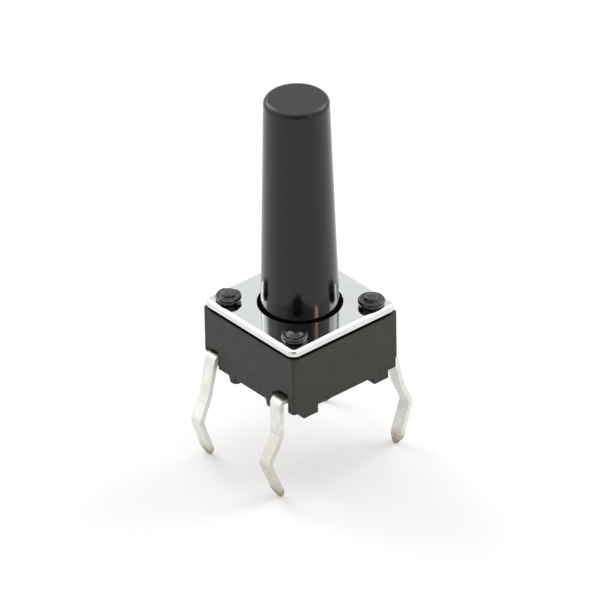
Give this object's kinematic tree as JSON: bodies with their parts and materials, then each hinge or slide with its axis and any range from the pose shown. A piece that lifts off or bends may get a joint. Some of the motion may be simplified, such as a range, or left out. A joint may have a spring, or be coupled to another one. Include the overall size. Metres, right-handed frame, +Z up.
{
  "type": "tactile push button switch",
  "caption": "Through-hole tactile push button with a square body, a metal cover plate and a long tapered stem, on snap-in legs.",
  "frame": {"origin": "centre of the footprint, on the plane that the housing's feet stand on when the switch is pushed down onto a circuit board", "axes": "+Z up along the stem, out of the board; the legs leave the body's -X and +X faces; the legs go down from the origin to the -Z side"},
  "size_m": [0.0082, 0.006, 0.018],
  "materials": {
    "housing_plastic": "matte, fine moulded grain",
    "cover_metal": "polished plated steel with a rolled edge",
    "stem_plastic": "satin to glossy moulded plastic",
    "dome_steel": "bright spring steel",
    "terminal_tin": "matte tin plating over copper alloy"
  },
  "bodies": {
    "body": {"housing": "housing_plastic", "cover_plate": "cover_metal", "snap_dome": "dome_steel", "contact_terminal": "terminal_tin", "ring_terminal": "terminal_tin"},
    "stem": {"stem": "stem_plastic"}
  },
  "joints": [
    {"name": "stem_press", "type": "slide", "parent": "body", "child": "stem", "axis": [0, 0, -1], "range_m": [0, 0.00025], "stiffness_N_per_m": 6300, "deforming": ["snap_dome"]}
  ]
}
